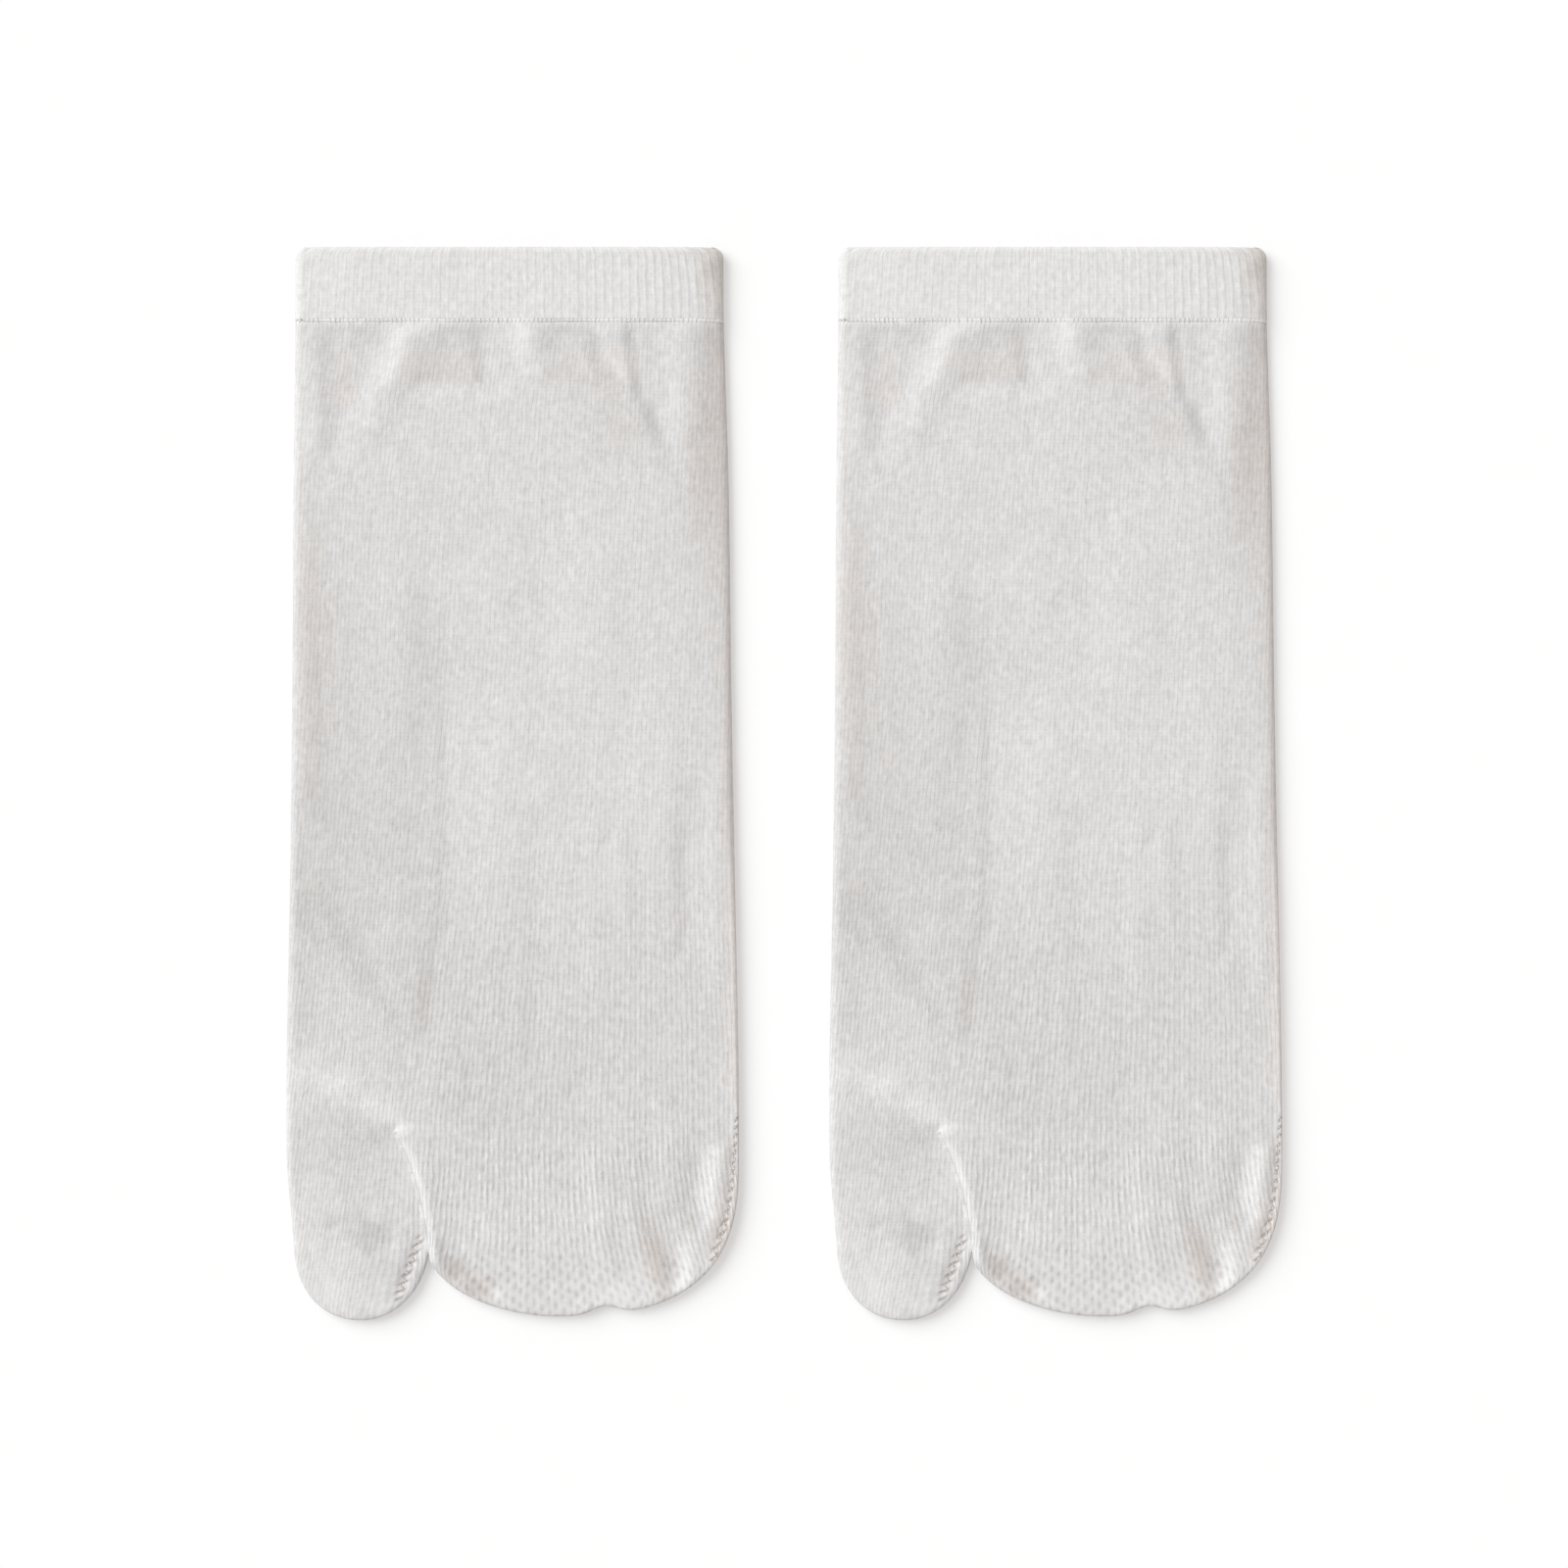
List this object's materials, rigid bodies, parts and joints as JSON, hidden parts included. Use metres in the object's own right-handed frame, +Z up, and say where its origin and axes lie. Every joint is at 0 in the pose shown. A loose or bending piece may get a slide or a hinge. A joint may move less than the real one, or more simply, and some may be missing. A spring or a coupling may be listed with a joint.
{
  "type": "pair of tabi socks",
  "caption": "Pair of flat-laid knitted split-toe socks, with a double-knit cuff, a straight leg and foot, and a cleft between the big toe and the other toes.",
  "frame": {"origin": "on the surface that the socks lie on, below the middle of the pair's box", "axes": "+X across the pair, +Y from the toes to the cuffs, +Z up from the surface"},
  "size_m": [0.2228, 0.2397, 0.0048],
  "materials": {
    "body_knit": "off-white plain cotton-blend knit, matt, with fine vertical wales",
    "cuff_knit": "paler double-knit welt with fine vertical ribs, matt"
  },
  "bodies": {
    "root": {"left_body": "body_knit", "left_cuff": "cuff_knit", "right_body": "body_knit", "right_cuff": "cuff_knit"}
  },
  "joints": []
}
